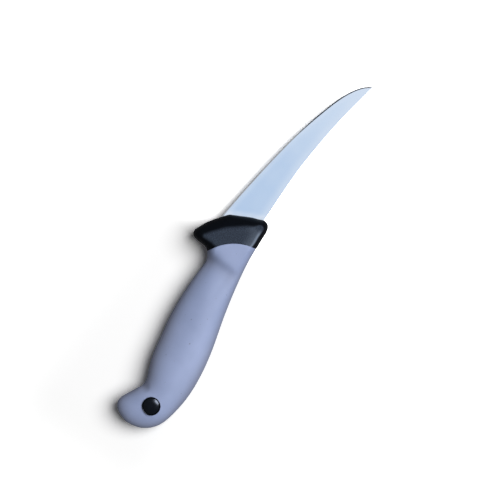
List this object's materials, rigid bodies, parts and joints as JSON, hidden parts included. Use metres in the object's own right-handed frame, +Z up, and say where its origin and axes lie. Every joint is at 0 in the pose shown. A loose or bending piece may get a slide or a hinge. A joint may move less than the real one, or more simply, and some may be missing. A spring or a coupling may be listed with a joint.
{
  "type": "fillet knife",
  "caption": "Curved fillet knife with a satin steel blade, a soft lavender-grey hooked grip, a black collar with a finger guard and a black plug through the butt.",
  "frame": {"origin": "middle of the knife's footprint, on the surface it lies on", "axes": "+X from the butt of the handle to the tip of the blade, +Y to the side of the cutting edge, +Z up, square to the knife's flank"},
  "size_m": [0.2661, 0.0594, 0.02],
  "materials": {
    "blade_steel": "satin",
    "grip_rubber": "matte",
    "core_plastic": "satin",
    "plug_plastic": "gloss"
  },
  "bodies": {
    "root": {"blade": "blade_steel", "handle_core": "core_plastic", "soft_grip": "grip_rubber", "plug_stud_half": "plug_plastic", "plug_socket_half": "plug_plastic"}
  },
  "joints": []
}
